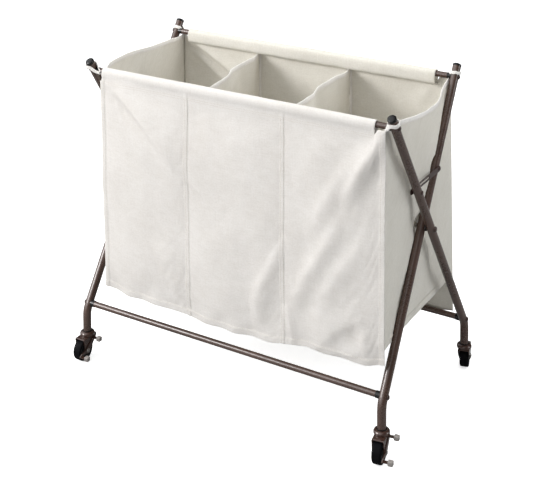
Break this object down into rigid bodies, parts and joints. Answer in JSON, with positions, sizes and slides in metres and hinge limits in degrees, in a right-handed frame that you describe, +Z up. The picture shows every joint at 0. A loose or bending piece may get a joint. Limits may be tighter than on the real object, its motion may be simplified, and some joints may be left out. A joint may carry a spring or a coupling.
{
  "type": "laundry cart",
  "caption": "Folding X-frame laundry cart on swivel casters, with an open canvas bag hung from its top tubes and split into compartments.",
  "frame": {"origin": "on the floor, midway between the four feet", "axes": "+X to the right along the width, -Y to the front (the braked casters), +Z up"},
  "size_m": [0.8197, 0.4765, 0.7131],
  "materials": {
    "frame_tube": "dark bronze powder coat, satin",
    "black_moulding": "glossy black moulding",
    "spacer": "black nylon",
    "fastener": "dark bronze, satin",
    "zinc": "zinc plated steel",
    "caster_metal": "brown lacquered pressed steel",
    "wheel_hub": "black nylon",
    "tyre": "black rubber, slightly worn",
    "push_pad": "pale grey moulding",
    "canvas": "natural cotton canvas, plain weave",
    "tape": "white cotton tape"
  },
  "bodies": {
    "frame_a": {"leg_a_left": "frame_tube", "leg_a_right": "frame_tube", "top_tube_rear": "frame_tube", "bottom_tube_front": "frame_tube", "tube_end_plugs_a": "black_moulding", "frame_screws_a": "fastener", "leg_caps_a": "black_moulding", "pivot_bolts": "fastener", "pivot_nuts": "zinc", "pivot_spacers": "spacer", "strap_rivets_a": "fastener", "caster_sockets_front": "black_moulding", "caster_stems_front": "zinc", "caster_hoods_front": "caster_metal", "swivel_balls_front": "zinc", "bag_front_panel": "canvas", "bag_rear_panel": "canvas", "bag_side_left": "canvas", "bag_side_right": "canvas", "bag_divider_left": "canvas", "bag_divider_right": "canvas", "bag_floor": "canvas", "corner_loops_rear": "tape"},
    "frame_b": {"leg_b_left": "frame_tube", "leg_b_right": "frame_tube", "top_tube_front": "frame_tube", "bottom_tube_rear": "frame_tube", "tube_end_plugs_b": "black_moulding", "frame_screws_b": "fastener", "leg_caps_b": "black_moulding", "strap_rivets_b": "fastener", "caster_sockets_rear": "black_moulding", "caster_stems_rear": "zinc", "caster_hoods_rear": "caster_metal", "swivel_balls_rear": "zinc", "bag_front_sleeve": "canvas", "corner_loops_front": "tape"},
    "strap_left": {"stop_strap_left": "fastener"},
    "strap_right": {"stop_strap_right": "fastener"},
    "caster_front_right": {"fork_front_right": "caster_metal", "axle_front_right": "zinc"},
    "wheel_front_right": {"wheel_hub_front_right": "wheel_hub", "tyre_front_right": "tyre"},
    "brake_front_right": {"brake_lever_front_right": "caster_metal", "brake_pads_front_right": "push_pad"},
    "caster_front_left": {"fork_front_left": "caster_metal", "axle_front_left": "zinc"},
    "wheel_front_left": {"wheel_hub_front_left": "wheel_hub", "tyre_front_left": "tyre"},
    "brake_front_left": {"brake_lever_front_left": "caster_metal", "brake_pads_front_left": "push_pad"},
    "caster_rear_right": {"fork_rear_right": "caster_metal", "axle_rear_right": "zinc"},
    "wheel_rear_right": {"wheel_hub_rear_right": "wheel_hub", "tyre_rear_right": "tyre"},
    "caster_rear_left": {"fork_rear_left": "caster_metal", "axle_rear_left": "zinc"},
    "wheel_rear_left": {"wheel_hub_rear_left": "wheel_hub", "tyre_rear_left": "tyre"}
  },
  "joints": [
    {"name": "fold", "type": "hinge", "parent": "frame_a", "child": "frame_b", "pos_m": [0, 0, 0.40767], "axis": [-1, 0, 0], "range_deg": [0, 38]},
    {"name": "strap_left_swing", "type": "hinge", "parent": "frame_a", "child": "strap_left", "pos_m": [-0.38, 0.06874, 0.51267], "axis": [-1, 0, 0], "range_deg": [0, 19]},
    {"name": "strap_right_swing", "type": "hinge", "parent": "frame_a", "child": "strap_right", "pos_m": [0.38, 0.06874, 0.51267], "axis": [-1, 0, 0], "range_deg": [0, 19]},
    {"name": "swivel_front_right", "type": "hinge", "parent": "frame_a", "child": "caster_front_right", "pos_m": [0.369, -0.194, 0.0566], "axis": [0, 0, 1], "continuous": true},
    {"name": "spin_front_right", "type": "hinge", "parent": "caster_front_right", "child": "wheel_front_right", "pos_m": [0.37166, -0.21079, 0.025], "axis": [0.9877, 0.1564, 0], "continuous": true},
    {"name": "brake_front_right", "type": "hinge", "parent": "caster_front_right", "child": "brake_front_right", "pos_m": [0.37166, -0.21079, 0.025], "axis": [-0.9877, -0.1564, 0], "range_deg": [0, 14]},
    {"name": "swivel_front_left", "type": "hinge", "parent": "frame_a", "child": "caster_front_left", "pos_m": [-0.391, -0.194, 0.0566], "axis": [0, 0, 1], "continuous": true},
    {"name": "spin_front_left", "type": "hinge", "parent": "caster_front_left", "child": "wheel_front_left", "pos_m": [-0.3907, -0.211, 0.025], "axis": [0.9998, 0.0175, 0], "continuous": true},
    {"name": "brake_front_left", "type": "hinge", "parent": "caster_front_left", "child": "brake_front_left", "pos_m": [-0.3907, -0.211, 0.025], "axis": [-0.9998, -0.0175, 0], "range_deg": [0, 14]},
    {"name": "swivel_rear_right", "type": "hinge", "parent": "frame_b", "child": "caster_rear_right", "pos_m": [0.391, 0.194, 0.0566], "axis": [0, 0, 1], "continuous": true},
    {"name": "spin_rear_right", "type": "hinge", "parent": "caster_rear_right", "child": "wheel_rear_right", "pos_m": [0.38631, 0.21034, 0.025], "axis": [-0.9613, -0.2756, 0], "continuous": true},
    {"name": "swivel_rear_left", "type": "hinge", "parent": "frame_b", "child": "caster_rear_left", "pos_m": [-0.369, 0.194, 0.0566], "axis": [0, 0, 1], "continuous": true},
    {"name": "spin_rear_left", "type": "hinge", "parent": "caster_rear_left", "child": "wheel_rear_left", "pos_m": [-0.36263, 0.20976, 0.025], "axis": [-0.9272, 0.3746, 0], "continuous": true}
  ],
  "couplings": [
    {"joint": "strap_left_swing", "follows": "fold", "ratio": 0.5},
    {"joint": "strap_right_swing", "follows": "fold", "ratio": 0.5}
  ]
}
